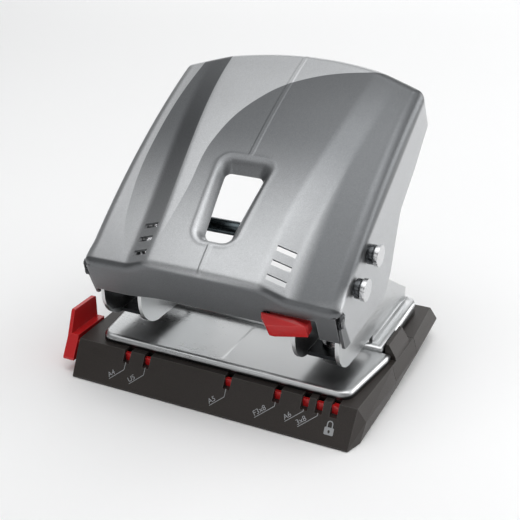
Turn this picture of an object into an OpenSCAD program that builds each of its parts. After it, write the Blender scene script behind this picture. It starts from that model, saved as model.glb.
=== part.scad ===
// Desk paper punch with two hole heads, a pressed steel lever and a
// pull-out paper guide. Millimetres. X runs along the front edge, -Y is the
// side the paper goes in, Z is up. The origin is on the desk, half way
// between the two punches.

/* [Punching] */
// Distance between the two holes
hole_spacing = 80; // [70:1:90]
// Diameter of the punched hole
hole_d = 5.5; // [5:0.1:6]
// Distance from the hole centres to the paper stop
hole_margin = 11; // [10:0.5:13]
// Height of the slot that the paper goes into
paper_gap = 4.5; // [4.2:0.1:5]

/* [Tray] */
// Height of the plastic tray's top edge
tray_h = 13.6; // [13:0.2:14.6]
// Half the tray's width at its top front corners
tray_half_w = 58.2; // [57.8:0.1:58.6]
// Y of the tray's top front edge
tray_front = -45; // [-45.4:0.1:-44.8]
// Y of the tray's top rear edge
tray_rear = 40; // [39:0.5:44]
// How far the front face slopes forward at its foot
tray_slope = 7.4; // [5:0.1:8]

/* [Base plate] */
// Thickness of the pressed steel base plate
plate_t = 1.5; // [1.2:0.1:1.8]
// Height of the paper table
table_h = 16.6; // [16.4:0.1:17]
// Height of the raised platform behind the paper stop
platform_h = 18.7; // [18.3:0.1:19.2]

/* [Handle] */
// Slope of the handle at rest, in degrees
handle_tilt = 32; // [31:0.5:32.5]
// Length of the handle along its centre line
handle_len = 109; // [102:1:112]
// Half the handle's outside width
handle_half_w = 51.3; // [51.2:0.1:51.6]
// Thickness of the handle's sheet steel
handle_t = 1.2; // [1:0.1:1.2]
// Angle that the handle is pressed through
press_angle = 36; // [30:1:36]

/* [Paper guide] */
// Width of each format notch in the tray's front edge
notch_w = 2.8; // [2:0.1:3.2]

/* [Hidden] */
$fn = 48;

// Colours
steel_c = [0.74, 0.74, 0.73];
paint_c = [0.68, 0.70, 0.71];
pin_c = [0.80, 0.81, 0.82];
tray_c = [0.16, 0.15, 0.14];
red_c = [0.75, 0.11, 0.10];
rubber_c = [0.08, 0.08, 0.08];

// Punch positions
head_x = hole_spacing / 2;
punch_r = hole_d / 2;
stop_y = -9.3;
punch_y = stop_y - hole_margin + 0.2;
slide_gap = 0.05;

// Handle frame: its origin is the front crease, Y runs up the handle
crease_y = -50.5;
crease_z = 57;
pin_v = -11;
pivot_u = 12.4;
rod_u = 27;
pivot_r = 2.5;
rod_r = 2.75;
crown_r = 325;
crown_mid = 52;
crown_rise = 4.1;
wall_in = handle_half_w - handle_t;
lever = rod_u - pivot_u;
pivot_y = crease_y + pivot_u * cos(handle_tilt) - pin_v * sin(handle_tilt);
pivot_z = crease_z + pivot_u * sin(handle_tilt) + pin_v * cos(handle_tilt);
rod_y = pivot_y + lever * cos(handle_tilt);
rod_z = pivot_z + lever * sin(handle_tilt);
rod_low_z = pivot_z - lever * sin(press_angle - handle_tilt);

// Brackets
sheet = 1.5;
cheek_out = 9;
web_z = table_h + paper_gap;
cheek_front = -41.4;
cheek_round = 12.4;
head_r = 4;
head_t = 1.5;
head_x_out = 54.4;
collar_r = 3.6;
neck_r = 3;
groove = 0.7;
end_proud = 0.4;

// ---------------------------------------------------------------- helpers

// Mirrors what is given so that it stands on both sides of X = 0
module both_sides() {
    children();
    mirror([1, 0, 0]) children();
}

// Shaft along X between two X positions
module shaft(x0, x1, r, y, z) {
    translate([x0, y, z]) rotate([0, 90, 0]) cylinder(r = r, h = x1 - x0);
}

// Upright rod or disc
module upright(r, z0, z1, x, y) {
    translate([x, y, z0]) cylinder(r = r, h = z1 - z0);
}

// Plate that lies in a YZ outline and is given its X range
module side_plate(x0, x1, outline) {
    translate([x0, 0, 0]) rotate([90, 0, 90]) linear_extrude(x1 - x0) polygon(outline);
}

function arc_points(cx, cy, r, a0, a1, n) =
    [for (i = [0:n]) [cx + r * cos(a0 + (a1 - a0) * i / n), cy + r * sin(a0 + (a1 - a0) * i / n)]];

function mirrored(points) =
    concat(points, [for (i = [len(points) - 1:-1:0]) [-points[i][0], points[i][1]]]);

// ------------------------------------------------------------------- tray

mid_h = 7.5;
foot_h = 0.3;
door_foot_h = 0.8;
lip = 0.5;
tray_top = [[tray_half_w, tray_front], [tray_half_w + 1.4, -10], [tray_half_w + 1.8, 12],
    [tray_half_w + 0.1, tray_rear]];
tray_mid = [[60.6, -42.4], [61.4, -9], [61.8, 12], [60.4, tray_rear + 3.5]];
tray_foot = [[57.7, tray_front - tray_slope], [59.8, -45.6], [59.7, -8], [58.8, 12.6],
    [55.5, tray_rear + 1]];
bin_floor = 2.4;
bin_x0 = -48.5;
bin_x1 = 51.5;
bin_front = -37.5;
bin_rear = 36;
door_half = 12;
door_in_x = 56.2;
door_clear = 0.25;
hinge_x = 58.2;
hinge_z = 2.3;
hinge_r = 0.8;
screw_spots = [[-44, -33], [46.5, -33], [-26, 31], [26, 31]];
mat_t = 1.4;
mat_half = 52;
mat_front = -46;
mat_rear = 37;
mat_round = 6;

module outline_slab(points, z0, z1) {
    translate([0, 0, z0]) linear_extrude(z1 - z0) polygon(mirrored(points));
}

// Outside of the tray: sloped front, bevelled sides, undercut foot
module tray_body() {
    hull() {
        outline_slab(tray_top, tray_h - lip, tray_h);
        outline_slab(tray_mid, mid_h - lip, mid_h);
        outline_slab(tray_foot, foot_h, foot_h + lip);
    }
}

// Format notches: A4, US letter, A5, folio, A6, three by eight, lock
notch_x = [-35.7, -26.9, 7.8, 27.8, 38.8, 44.3, 50];
notch_low = 9.2;
notch_back = -41.4;
guide_front = -44.8;
guide_back = -40.2;
guide_z0 = 6.2;
guide_z1 = 12.2;
lip_back = -43.4;
guide_x0 = -58.9;
guide_x1 = 51.4;
end_back = -26.6;
end_low = 5.1;

module base_tray() {
    color(tray_c) difference() {
        tray_body();
        // Chip bin
        difference() {
            translate([bin_x0, bin_front, bin_floor])
                cube([bin_x1 - bin_x0, bin_rear - bin_front, tray_h]);
            for (s = screw_spots) upright(4, 0, tray_h, s[0], s[1]);
        }
        // Guide channel, open to the left
        translate([-70, guide_front - 0.1, guide_z0 - 0.2])
            cube([70 + guide_x1 + 0.5, guide_back - guide_front + 0.3, guide_z1 - guide_z0 + 0.4]);
        // Recess for the block at the guide's end
        translate([-70, tray_front - 15, guide_z0 - 1.4])
            cube([70 + guide_x0 - 0.1, 15 - tray_front + end_back + 0.3, tray_h]);
        for (x = notch_x)
            translate([x - notch_w / 2, tray_front - 6, notch_low])
                cube([notch_w, notch_back - tray_front + 6, tray_h]);
        // Side door opening and its hinge bore
        translate([door_in_x - door_clear, -door_half - door_clear, -1])
            cube([20, 2 * (door_half + door_clear), tray_h + 5]);
        translate([bin_x1 - 1, -door_half + 2, bin_floor + 2.2])
            cube([10, 2 * door_half - 4, 8]);
        translate([hinge_x, 0, hinge_z]) rotate([90, 0, 0])
            cylinder(r = hinge_r + 0.02, h = 2 * door_half + 6, center = true);
        // Screw holes and the seat of the rubber mat
        for (s = screw_spots) {
            upright(1.6, 0, tray_h + 1, s[0], s[1]);
            upright(3.2, 0, 3.2, s[0], s[1]);
        }
        mat_shape(0, mat_t, 0.02);
        // Seat of the guide's detent spring
        translate([detent_x0 - 0.5, detent_y - 1.7, detent_z - 0.2])
            cube([detent_x1 - detent_x0 + 1, 1.9, 5]);
    }
}

// Rounded sheet let into the tray's underside
module mat_shape(z0, z1, grow) {
    w = mat_half + grow;
    corners = concat(
        arc_points(w - mat_round, mat_front + mat_round - grow, mat_round, 270, 360, 6),
        arc_points(w - mat_round, mat_rear - mat_round + grow, mat_round, 0, 90, 6));
    translate([0, 0, z0]) linear_extrude(z1 - z0) polygon(mirrored(corners));
}

module rubber_mat() {
    color(rubber_c) difference() {
        mat_shape(0, mat_t, 0);
        for (s = screw_spots) upright(4, -1, 5, s[0], s[1]);
    }
}

// Chip door: the middle stretch of the tray's right side, with a thumb tab
tab_half = 7.9;
tab_outline = [[55.1, 14.2], [59.6, 13.2], [59.2, 15], [56.4, 19.6], [55.1, 19.9]];

module chip_door() {
    color(tray_c) difference() {
        union() {
            intersection() {
                tray_body();
                translate([door_in_x, -door_half, door_foot_h]) cube([20, 2 * door_half, tray_h]);
            }
            rotate([90, 0, 0]) linear_extrude(2 * tab_half, center = true) polygon(tab_outline);
        }
        translate([hinge_x, 0, hinge_z]) rotate([90, 0, 0])
            cylinder(r = hinge_r + slide_gap, h = 2 * door_half + 6, center = true);
        // Relief so that the foot of the door swings clear of the tray
        translate([door_in_x - 1, -door_half - 1, 0]) cube([1.6, 2 * door_half + 2, 4.2]);
    }
}

module door_pin() {
    color(pin_c) translate([hinge_x, 0, hinge_z]) rotate([90, 0, 0])
        cylinder(r = hinge_r, h = 2 * door_half + 5.6, center = true);
}

// ------------------------------------------------------------- base plate

table_x0 = -50.6;
table_x1 = 54.2;
table_flare = 3.4;
table_front = -42.3;
plate_rear = 38;
platform_half = 54;
die_r = 5;

table_outline = concat(
    arc_points(table_x0 + 5, table_front + 5, 5, 180, 270, 6),
    arc_points(table_x1 - 5, table_front + 5, 5, 270, 360, 6),
    [[table_x1 + table_flare, stop_y - 3], [table_x1 + table_flare, stop_y + 1],
     [table_x0 - table_flare, stop_y + 1], [table_x0 - table_flare, stop_y - 3]]);
platform_outline = concat(
    [[-platform_half, stop_y], [platform_half, stop_y]],
    arc_points(platform_half - 7, plate_rear - 7, 7, 0, 90, 8),
    arc_points(-platform_half + 7, plate_rear - 7, 7, 90, 180, 8));
rivet_spots = [[-head_x, 18], [-head_x, 29], [head_x, 18], [head_x, 29]];
rivet_r = 1.9;

module pressed_tread(outline, top) {
    difference() {
        translate([0, 0, tray_h]) linear_extrude(top - tray_h) polygon(outline);
        translate([0, 0, tray_h - 1]) linear_extrude(top - plate_t - tray_h + 1)
            offset(delta = -plate_t) polygon(outline);
    }
}

module base_plate() {
    color(steel_c) difference() {
        union() {
            difference() {
                pressed_tread(table_outline, table_h);
                translate([-platform_half + plate_t, stop_y + plate_t, tray_h - 1])
                    cube([2 * (platform_half - plate_t), 10, 10]);
            }
            difference() {
                pressed_tread(platform_outline, platform_h);
                translate([-platform_half + plate_t, stop_y - 1, tray_h - 1])
                    cube([2 * (platform_half - plate_t), plate_t + 2, table_h - plate_t - tray_h + 1]);
            }
            for (s = screw_spots)
                upright(3, tray_h, s[1] < stop_y ? table_h : platform_h, s[0], s[1]);
        }
        for (x = [-head_x, head_x]) upright(die_r, 0, 30, x, punch_y);
        for (s = rivet_spots) upright(rivet_r, 0, 30, s[0], s[1]);
        for (s = screw_spots) upright(1.5, 0, table_h - 0.8, s[0], s[1]);
    }
}

module plate_screws() {
    color(pin_c) for (s = screw_spots) difference() {
        union() {
            upright(2.9, 1.6, 3.2, s[0], s[1]);
            upright(1.45, 3.1, table_h - 1, s[0], s[1]);
        }
        for (a = [0, 90]) translate([s[0], s[1], 1.6]) rotate([0, 0, a])
            cube([3.4, 0.7, 1.4], center = true);
    }
}

module die(side) {
    color(pin_c) difference() {
        upright(die_r - 0.02, table_h - 3, table_h, side * head_x, punch_y);
        upright(punch_r + 0.07, 0, 30, side * head_x, punch_y);
    }
}
module left_die() { die(-1); }
module right_die() { die(1); }

// ------------------------------------------------------------ paper guide

stop_face_x = -62.6;
end_out_x = -64.2;
end_top = 23.2;
front_slope = tray_slope / (tray_h - lip - foot_h);

module paper_guide() {
    color(red_c) {
        // Bar in the tray, seen through the notches
        side_plate(guide_x0 - 1, guide_x1,
            [[guide_front, guide_z0], [guide_back, guide_z0], [guide_back, 10],
             [lip_back, 10], [lip_back, guide_z1], [guide_front, guide_z1]]);
        // Pointer at the end of the bar
        translate([notch_x[6] - 1.2, guide_front, 9]) cube([2.4, 2.4, guide_z1 - 9]);
        // Block against the tray's end, with the tray's own front slope
        side_plate(end_out_x, guide_x0 - 0.4,
            [[end_back, 6], [tray_front - 4, end_low], [tray_front - 4, 6],
             [tray_front, 6 + 4 / front_slope], [tray_front + 0.6, 14.4], [end_back, 14.4]]);
        // Upright end that the paper's edge meets
        side_plate(end_out_x, stop_face_x,
            [[end_back, 14], [tray_front + 0.4, 14], [-41.2, 22.6], [-40.6, end_top],
             [end_back - 0.8, end_top], [end_back, end_top - 0.6]]);
    }
}

// Leaf spring that presses on the guide's bar, an L in side view
detent_x0 = -19.5;
detent_x1 = -6.5;
detent_z = 4.6;
detent_t = 0.5;
detent_y = -38.9;

module guide_detent() {
    color(pin_c) side_plate(detent_x0, detent_x1,
        [[detent_y - 1.2, detent_z], [detent_y, detent_z], [detent_y, 2 * detent_z],
         [detent_y - detent_t, 2 * detent_z], [detent_y - detent_t, detent_z + detent_t],
         [detent_y - 1.2, detent_z + detent_t]]);
}

// ---------------------------------------------------------------- brackets

notch_floor = rod_low_z - rod_r - 0.35;
ear_r = 5.4;
cheek_outline = concat(
    arc_points(cheek_front + cheek_round, web_z + cheek_round, cheek_round, 180, 270, 12),
    [[-5.5, web_z], [-5.5, platform_h], [33.5, platform_h], [33.5, 24.2], [25.5, 28.8],
     [9, 38.6], [-9, 51], [-14.8, 52.6], [-15.4, notch_floor], [-25.2, notch_floor]],
    arc_points(pivot_y, pivot_z, ear_r, 10, 170, 12),
    [[cheek_front, 44]]);
bridge_z = 38;

module cheek(x) {
    difference() {
        side_plate(x, x + sheet, cheek_outline);
        shaft(x - 1, x + sheet + 1, pivot_r + 0.02, pivot_y, pivot_z);
    }
}

module bracket(side) {
    color(steel_c) translate([side * head_x, 0, 0]) difference() {
        union() {
            cheek(-cheek_out);
            cheek(cheek_out - sheet);
            translate([-cheek_out, -30, web_z]) cube([2 * cheek_out, 21, sheet]);
            translate([-cheek_out, 12, platform_h]) cube([2 * cheek_out, 21.5, sheet]);
        }
        upright(4.02, 0, 40, 0, punch_y);
        for (y = [18, 29]) upright(rivet_r, 0, 40, 0, y);
    }
}
module left_bracket() { bracket(-1); }
module right_bracket() { bracket(1); }

module bracket_rivets() {
    color(pin_c) for (s = rivet_spots) translate([s[0], s[1], 0]) {
        translate([0, 0, platform_h - plate_t - 0.4]) cylinder(r = rivet_r, h = plate_t + sheet + 0.5);
        translate([0, 0, platform_h + sheet]) intersection() {
            translate([0, 0, -3.2]) sphere(r = 4.6);
            cylinder(r = 5, h = 2);
        }
        translate([0, 0, platform_h - plate_t - 0.8]) cylinder(r = 3.2, h = 0.8);
    }
}

module guide_bush(side) {
    color(pin_c) difference() {
        union() {
            upright(4, web_z, 27, side * head_x, punch_y);
            upright(5.2, web_z + sheet, web_z + sheet + 1.2, side * head_x, punch_y);
        }
        upright(punch_r + slide_gap, 0, 60, side * head_x, punch_y);
    }
}
module left_guide_bush() { guide_bush(-1); }
module right_guide_bush() { guide_bush(1); }

module guide_bridge(side) {
    color(steel_c) difference() {
        translate([side * head_x - cheek_out + sheet, -31, bridge_z])
            cube([2 * (cheek_out - sheet), 20, sheet]);
        upright(punch_r + slide_gap, 0, 60, side * head_x, punch_y);
    }
}
module left_guide_bridge() { guide_bridge(-1); }
module right_guide_bridge() { guide_bridge(1); }

// ----------------------------------------------------- punches and springs

punch_low = web_z + 1.2;
punch_top = rod_z - rod_r - 0.1;
punch_head = 2;
punch_head_r = 4.6;

module punch(side) {
    color(pin_c) translate([side * head_x, punch_y, 0]) difference() {
        union() {
            upright(punch_r, punch_low, punch_top - 1, 0, 0);
            upright(punch_head_r, punch_top - punch_head, punch_top, 0, 0);
        }
        // Hollow ground cutting end
        shaft(-5, 5, 6, 0, punch_low - 5);
    }
}
module left_punch() { punch(-1); }
module right_punch() { punch(1); }

spring_wire_r = 0.45;
spring_coil_r = 3.75;
spring_turns = 6;
spring_z0 = bridge_z + sheet + spring_wire_r + 0.05;
spring_z1 = punch_top - punch_head - spring_wire_r - 0.05;
ring_steps = spring_turns * 14;
wire_sides = 6;

function spring_z(f) =
    let (g = f * spring_turns)
    spring_z0 + (spring_z1 - spring_z0) * max(0, min(1, (g - 0.75) / (spring_turns - 1.5)));

function spring_ring(f) =
    [for (k = [0:wire_sides - 1])
        let (a = 360 * k / wire_sides, r = spring_coil_r + spring_wire_r * cos(a), t = 360 * spring_turns * f)
        [r * cos(t), r * sin(t), spring_z(f) + spring_wire_r * sin(a)]];

module spring(side) {
    points = [for (i = [0:ring_steps]) each spring_ring(i / ring_steps)];
    walls = [for (i = [0:ring_steps - 1]) for (k = [0:wire_sides - 1])
        let (n = (k + 1) % wire_sides, a = i * wire_sides, b = a + wire_sides)
        [a + k, b + k, b + n, a + n]];
    start = [for (k = [0:wire_sides - 1]) k];
    finish = [for (k = [wire_sides - 1:-1:0]) ring_steps * wire_sides + k];
    color(pin_c) translate([side * head_x, punch_y, 0])
        polyhedron(points = points, faces = concat(walls, [start, finish]));
}
module left_spring() { spring(-1); }
module right_spring() { spring(1); }

// ------------------------------------------------------------ pivot pieces

pivot_in_x = 29.4;

// The pins have heads on the right and end just outside the wall on the left
module left_pivot_pin() {
    color(pin_c) shaft(-handle_half_w - end_proud, -pivot_in_x, pivot_r, pivot_y, pivot_z);
}

module right_pivot_pin() {
    color(pin_c) {
        shaft(pivot_in_x, head_x_out + 0.2, pivot_r, pivot_y, pivot_z);
        collared_head(handle_half_w + 0.35, pivot_y, pivot_z);
    }
}

// Head on a neck with a collar, from the given X outwards
module collared_head(x0, y, z) {
    shaft(x0, head_x_out + 0.1, neck_r, y, z);
    shaft(x0 + 0.4, head_x_out - groove, collar_r, y, z);
    shaft(head_x_out, head_x_out + head_t, head_r, y, z);
}

module ring_on_x(x0, x1, r_out, r_in) {
    difference() {
        shaft(x0, x1, r_out, pivot_y, pivot_z);
        shaft(x0 - 1, x1 + 1, r_in, pivot_y, pivot_z);
    }
}

clip_t = 0.8;
clip_r = 4.2;
cheek_in_x = head_x - cheek_out;

// One clip inside each inner cheek, and one on its other side on the left pin
module pivot_clips() {
    color(pin_c) {
        both_sides() ring_on_x(cheek_in_x - clip_t - 0.2, cheek_in_x - 0.2, clip_r, pivot_r);
        ring_on_x(-cheek_in_x - sheet - clip_t - 0.1, -cheek_in_x - sheet - 0.1, clip_r, pivot_r);
    }
}

module pivot_spacers() {
    color(rubber_c) both_sides()
        ring_on_x(head_x + cheek_out, wall_in - 0.15, 4.6, pivot_r + 0.02);
}

module driver_rod() {
    color(pin_c) shaft(-handle_half_w - end_proud, head_x_out + 1.2, rod_r, rod_y, rod_z);
}

// Cap on the rod's right end, and a clip inside the left wall
module rod_caps() {
    color(pin_c) difference() {
        union() {
            collared_head(handle_half_w, rod_y, rod_z);
            shaft(-wall_in + 0.1, -wall_in + 0.7, head_r, rod_y, rod_z);
        }
        shaft(-wall_in - 1, head_x_out + 1.2, rod_r, rod_y, rod_z);
    }
}

// ------------------------------------------------------------------ handle

side_low_world = 34.8;
skirt_low_u = -4.5;
skirt_low_v = -21.4;
skirt_mid_v = -19.3;
end_r = 125;
corner_u = handle_len - 14;

// Point of the rest position's side view, moved into the handle's frame
function to_handle(y, z) =
    let (dy = y - crease_y, dz = z - crease_z)
    [dy * cos(handle_tilt) + dz * sin(handle_tilt), dz * cos(handle_tilt) - dy * sin(handle_tilt)];

// Side view: skirt, straight foot, rear corner, rising rear edge
side_view = concat(
    arc_points(1.6, -1.5, 3.4, 172, 100, 5),
    [[6, 8], [handle_len + 10, 8], [handle_len + 10, -12],
        [handle_len - 3.2, -15.2], [handle_len - 5.5, -18],
     to_handle(27, 77.4), to_handle(12.6, 65.9), to_handle(7.6, 52), to_handle(5.6, 45.6),
     to_handle(1.8, 38.6), to_handle(-1.4, 35.6), to_handle(-4.6, side_low_world),
     to_handle(-38.4, side_low_world), [skirt_low_u, skirt_low_v]]);

// Side view of the hollow, open at the bottom
hollow_view = concat(
    arc_points(1.6 + handle_t, -1.5 - handle_t, 3.4, 172, 100, 5),
    [[8, 8], [handle_len + 10, 8], [handle_len + 10, -70],
     [skirt_low_u - 3, -70], [skirt_low_u - 3, skirt_low_v], [skirt_low_u + handle_t, skirt_low_v]]);

// Plan: straight sides, round corners, bowed far end
function plan_view(t) =
    let (w = handle_half_w - t, e = handle_len - t)
    mirrored(concat([[w, -12], [w, corner_u]],
        arc_points(w - 6, corner_u, 6, 0, 62, 5),
        [for (x = [38:-10:8]) [x, e - x * x / (2 * end_r)]]));

// Cross-section: crowned middle, two sloping facets, flats, round folds
flat_v = -3.8;
fold_r = 4.6;

function cross_section(t) =
    let (w = handle_half_w - t, r = fold_r - t)
    concat([for (x = [0:7.5:22.5]) [x, -t - 0.5 * pow(x / 22.5, 2)]],
        [[31.5, flat_v - t], [w - r, flat_v - 0.6 - t]],
        [for (a = [75:-15:0]) [w - r + r * cos(a), flat_v - 0.6 - t - r + r * sin(a)]],
        [[w, -50], [0, -50]]);

module crown_half(t) {
    translate([0, crown_mid, crown_rise - crown_r]) rotate([0, 90, 0])
        rotate_extrude($fn = 360)
            polygon([for (p = cross_section(t)) [crown_r + p[1], p[0]]]);
}

module crown(t) {
    crown_half(t);
    mirror([1, 0, 0]) crown_half(t);
}

module handle_prism(side_points, t) {
    intersection() {
        crown(t);
        rotate([90, 0, 90]) linear_extrude(120, center = true) polygon(side_points);
        translate([0, 0, -60]) linear_extrude(80) polygon(plan_view(t));
    }
}

window_half = 8;
window_taper = 3;
window_u0 = 13.6;
window_u1 = 42.8;
rim_depth = 5;
window_round = 2;
vent_u = [3.8, 9.4, 14.9];
vent_x0 = 23.9;
vent_w = 6.6;
vent_h = 2.1;
lock_x0 = 22.2;
lock_x1 = 39.8;
lock_travel = 2.6;
slot_x0 = 24;
slot_top = 8.6;
slot_x1 = lock_x1 + lock_travel;

// Window with round corners, narrower towards the front
module window_prism(grow, v0, v1) {
    x = window_half + grow - window_round;
    y = (window_u1 - window_u0) / 2 + grow - window_round;
    translate([0, (window_u0 + window_u1) / 2, v0]) linear_extrude(v1 - v0)
        polygon(mirrored(concat(
            arc_points(x - window_taper, -y, window_round, 270, 360, 4),
            arc_points(x, y, window_round, 0, 90, 4))));
}

module in_handle_frame() {
    translate([0, crease_y, crease_z]) rotate([handle_tilt, 0, 0]) children();
}

// Frame on the skirt: X along it, Z down it, origin where it starts
skirt_lean = 25;
module in_skirt_frame() {
    translate([0, -50.8, 53]) rotate([skirt_lean, 0, 0]) mirror([0, 0, 1]) children();
}

module handle() {
    color(paint_c) difference() {
        in_handle_frame() difference() {
            union() {
                difference() {
                    handle_prism(side_view, 0);
                    handle_prism(hollow_view, handle_t);
                }
                intersection() {
                    window_prism(handle_t, -rim_depth, 8);
                    handle_prism(side_view, 0);
                }
            }
            window_prism(0, -20, 20);
            for (u = vent_u) both_sides()
                translate([vent_x0, u - vent_h / 2, -8]) cube([vent_w, vent_h, 16]);
            // Shallow arch in the middle of the skirt's lower edge
            translate([0, 5, 0]) rotate([90, 0, 0]) linear_extrude(20)
                polygon([[-36, skirt_low_v - 0.1], [-21, skirt_mid_v], [21, skirt_mid_v],
                    [36, skirt_low_v - 0.1], [36, -40], [-36, -40]]);
        }
        shaft(-60, 60, pivot_r + slide_gap, pivot_y, pivot_z);
        shaft(-60, 60, rod_r, rod_y, rod_z);
        // Slot for the lock's stem
        in_skirt_frame() translate([slot_x0, -8, slot_top]) cube([slot_x1 - slot_x0, 16, 20]);
    }
}

// -------------------------------------------------------------------- lock

lock_w = lock_x1 - lock_x0;
lock_top = 9.2;
lock_ridge = 12.1;
lock_foot = 17.8;
lock_rise = 2.6;
lock_out = 3.4;
lock_back = 0.3;
slab = 0.5;
stem_top = 11;
stem_h = 4.5;
retainer_y = 1.8;

module lock_slider() {
    color(red_c) in_skirt_frame() {
        // Thumb piece in front of the skirt: its ridge and foot rise to the right
        hull() {
            translate([lock_x0, -lock_back - slab, lock_top]) cube([lock_w - 5, slab, slab]);
            translate([lock_x1 - slab, -lock_back - slab, lock_top + 0.9]) cube(slab);
            translate([lock_x0 - 0.6, -lock_back - slab, lock_ridge]) cube(slab);
            translate([lock_x0 + 2.2, -lock_out, lock_ridge]) cube(slab);
            translate([lock_x1 - 1, -lock_out + 1.1, lock_ridge - lock_rise]) cube(slab);
            translate([lock_x0 + 2.4, -lock_out + 0.4, lock_foot])
                cube([2, lock_out - lock_back - 0.4, slab]);
            translate([lock_x1 - 1, -lock_out + 1.5, lock_foot - lock_rise])
                cube([slab, lock_out - lock_back - 1.5, slab]);
        }
        // Stem through the skirt's slot
        translate([slot_x0 + 0.3, -0.5, stem_top]) cube([lock_x1 - slot_x0 - 0.6, retainer_y + 0.5, stem_h]);
    }
}

// Spring steel clip that holds the slider to the skirt
module lock_retainer() {
    color(pin_c) in_skirt_frame()
        translate([lock_x0 + 0.6, retainer_y, slot_top - 1])
            cube([lock_w - 1.2, 0.5, stem_top + stem_h - slot_top + 1]);
}

// ------------------------------------------------------------------ output

base_tray();
rubber_mat();
base_plate();
plate_screws();
chip_door();
door_pin();
paper_guide();
guide_detent();
left_bracket();
right_bracket();
bracket_rivets();
left_guide_bush();
right_guide_bush();
left_guide_bridge();
right_guide_bridge();
left_die();
right_die();
left_punch();
right_punch();
left_spring();
right_spring();
left_pivot_pin();
right_pivot_pin();
pivot_clips();
pivot_spacers();
handle();
driver_rod();
rod_caps();
lock_slider();
lock_retainer();
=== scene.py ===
"""Looks of the desk hole punch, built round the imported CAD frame.

Lengths are in millimetres until mesh_piece() turns them into metres, except where a comment says so.
"""

import math

import bmesh
import bpy
import numpy as np
from mathutils import Matrix, Vector


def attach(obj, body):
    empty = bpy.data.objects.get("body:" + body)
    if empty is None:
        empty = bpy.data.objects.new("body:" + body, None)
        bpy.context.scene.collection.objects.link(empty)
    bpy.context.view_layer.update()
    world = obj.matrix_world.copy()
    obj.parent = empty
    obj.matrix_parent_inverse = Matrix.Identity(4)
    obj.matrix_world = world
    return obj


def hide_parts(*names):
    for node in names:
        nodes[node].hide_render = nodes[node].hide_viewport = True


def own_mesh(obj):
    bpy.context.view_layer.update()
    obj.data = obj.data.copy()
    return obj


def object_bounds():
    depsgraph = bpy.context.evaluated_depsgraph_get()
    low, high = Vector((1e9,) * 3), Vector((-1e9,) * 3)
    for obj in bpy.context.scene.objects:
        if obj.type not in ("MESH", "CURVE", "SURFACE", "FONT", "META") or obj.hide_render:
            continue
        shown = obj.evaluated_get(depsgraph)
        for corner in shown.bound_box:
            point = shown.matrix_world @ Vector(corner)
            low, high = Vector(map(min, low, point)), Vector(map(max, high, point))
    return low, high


MM = 0.001

# Camera and studio
CAMERA_AT = (152.4, -315.5, 200.8)
CAMERA_AZIMUTH = 25.97
CAMERA_ELEVATION = 24.6
CAMERA_ROLL = -0.11
CAMERA_LENS = 67.31

# Handle frame: origin on the front crease, U up the handle, V out of its top face
CREASE_Y = -50.5
CREASE_Z = 57.0
TILT = math.radians(32)
HALF_W = 51.3
SHEET_T = 1.2
FOLD_R = 4.6
CROWN_R = 325.0
CROWN_MID = 52.0
CROWN_RISE = 4.1
END_U = 109.0
END_R = 125.0
CREASE_R = 3.4
SKIRT_TOP = (-1.77, -1.03)
SKIRT_FOOT = (-4.5, -21.4)
SKIRT_ARCH_V = -19.3
SKIRT_ARCH_HALF = 19.0
SKIRT_ARCH_RUN = 19.0
FACET_X = 22.5
FACET_SPREAD = 8.5
FACET_DROP = (4.5, 1.3)
FACET_RUN = 9.0
FACET_FROM_U = 6.0
FACET_LENGTH = 100.0
MIDDLE_BOW = 0.5
EDGE_FALL = 0.6
WINDOW = (8.0, 13.6, 42.8)
WINDOW_TAPER = 3.0
WINDOW_CORNER = 2.6
WINDOW_RIM = (11.5, 11.0, 49.3)
RIM_CORNER = 5.2
WINDOW_DEPTH = 3.4
VENT_X = (23.9, 30.5)
VENT_U = ((2.75, 4.85), (8.35, 10.45), (13.85, 15.95))
SLOT_X = (23.9, 42.4)
SLOT_V = -11.8

# Base
TRAY_TOP_Z = 13.6
TRAY_FRONT_Y = -45.0
TRAY_FOOT_Y = -52.4
TABLE_Z = 16.6
PLATFORM_Z = 18.7
STEP_Y = -9.3
PUNCH_X = 40.0
PUNCH_Y = -20.1
NOTCH_X = (-35.7, -26.9, 7.8, 27.8, 38.8, 44.3, 50.0)

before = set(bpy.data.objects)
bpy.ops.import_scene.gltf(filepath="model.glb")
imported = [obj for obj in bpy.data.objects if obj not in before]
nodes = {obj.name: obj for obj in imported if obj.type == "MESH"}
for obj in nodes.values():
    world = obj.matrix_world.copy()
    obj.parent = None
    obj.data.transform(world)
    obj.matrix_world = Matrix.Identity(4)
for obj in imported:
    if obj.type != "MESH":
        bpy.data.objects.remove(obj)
cad_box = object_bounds()


# ------------------------------------------------------------------ camera

def aim(elevation, azimuth):
    """Unit vector from the object towards a viewer at these angles in degrees."""
    a, e = math.radians(azimuth), math.radians(elevation)
    return Vector((math.sin(a) * math.cos(e), -math.cos(a) * math.cos(e), math.sin(e)))


def make_camera():
    data = bpy.data.cameras.new("camera")
    data.lens = CAMERA_LENS
    data.sensor_width = 36
    data.clip_start = 0.02
    data.clip_end = 20
    camera = bpy.data.objects.new("camera", data)
    bpy.context.scene.collection.objects.link(camera)
    turn = (-aim(CAMERA_ELEVATION, CAMERA_AZIMUTH)).to_track_quat("-Z", "Y").to_matrix()
    roll = Matrix.Rotation(math.radians(CAMERA_ROLL), 3, "Z")
    camera.matrix_world = Matrix.Translation(Vector(CAMERA_AT) * MM) @ (turn @ roll).to_4x4()
    bpy.context.scene.camera = camera


make_camera()


# ------------------------------------------------------------------- studio

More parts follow.
